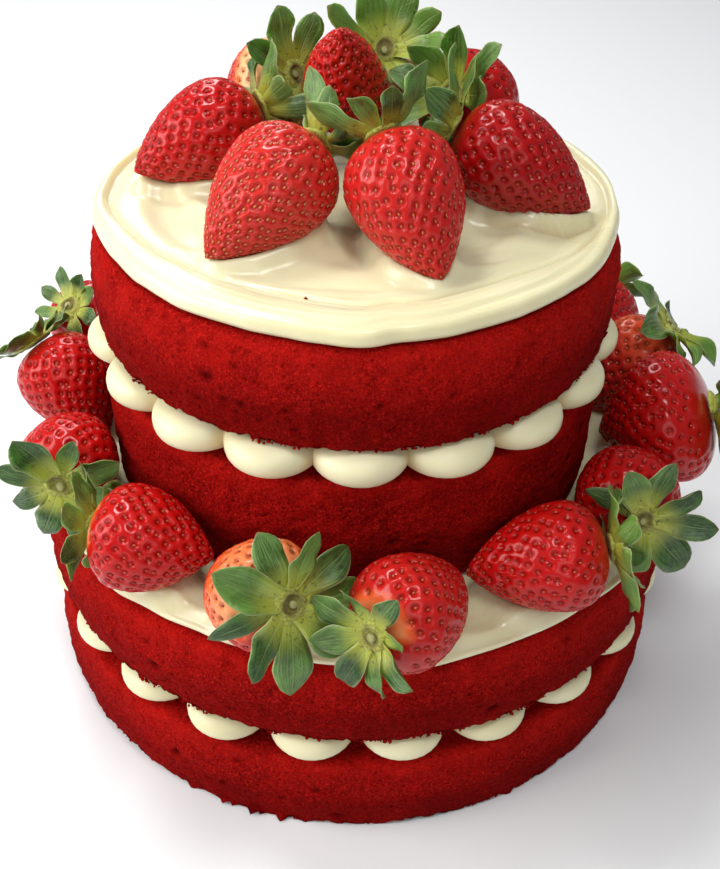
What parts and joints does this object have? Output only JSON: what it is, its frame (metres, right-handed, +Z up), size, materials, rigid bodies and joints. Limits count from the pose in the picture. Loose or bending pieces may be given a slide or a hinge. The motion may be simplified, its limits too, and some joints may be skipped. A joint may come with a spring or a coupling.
{
  "type": "two-tier red velvet cake",
  "caption": "Round two-tier red velvet layer cake with bare sides, piped cream balls between the layers, spread cream on each tier and whole strawberries with leaves.",
  "frame": {"origin": "middle of the underside of the lower tier, on the surface that the cake stands on", "axes": "+Z up, -Y towards the front of the cake, +X to the right seen from the front"},
  "size_m": [0.2337, 0.2312, 0.2039],
  "materials": {
    "sponge": "dark red crumb",
    "cream": "smooth ivory, satin",
    "berry": "glossy red with seeds",
    "leaf": "soft green leaf"
  },
  "bodies": {
    "root": {"sponge_lower_base": "sponge", "filling_lower": "cream", "sponge_lower_top": "sponge", "cream_shelf": "cream", "sponge_upper_base": "sponge", "filling_upper": "cream", "sponge_upper_top": "sponge", "cream_top": "cream", "berry_top_left": "berry", "berry_top_front_left": "berry", "berry_top_front_right": "berry", "berry_top_right": "berry", "berry_top_back_right": "berry", "berry_top_back": "berry", "berry_top_back_left": "berry", "berry_top_middle": "berry", "berry_ring_01": "berry", "berry_ring_02": "berry", "berry_ring_03": "berry", "berry_ring_04": "berry", "berry_ring_05": "berry", "berry_ring_06": "berry", "berry_ring_07": "berry", "berry_ring_08": "berry", "berry_ring_09": "berry", "berry_ring_10": "berry", "berry_ring_11": "berry", "berry_ring_12": "berry", "berry_ring_13": "berry", "berry_ring_14": "berry", "berry_ring_15": "berry", "cap_top_left": "leaf", "cap_top_front_left": "leaf", "cap_top_front_right": "leaf", "cap_top_right": "leaf", "cap_top_back_right": "leaf", "cap_top_back": "leaf", "cap_top_back_left": "leaf", "cap_top_middle": "leaf", "cap_ring_01": "leaf", "cap_ring_02": "leaf", "cap_ring_03": "leaf", "cap_ring_04": "leaf", "cap_ring_05": "leaf", "cap_ring_06": "leaf", "cap_ring_07": "leaf", "cap_ring_08": "leaf", "cap_ring_09": "leaf", "cap_ring_10": "leaf", "cap_ring_11": "leaf", "cap_ring_12": "leaf", "cap_ring_13": "leaf", "cap_ring_14": "leaf", "cap_ring_15": "leaf"}
  },
  "joints": []
}
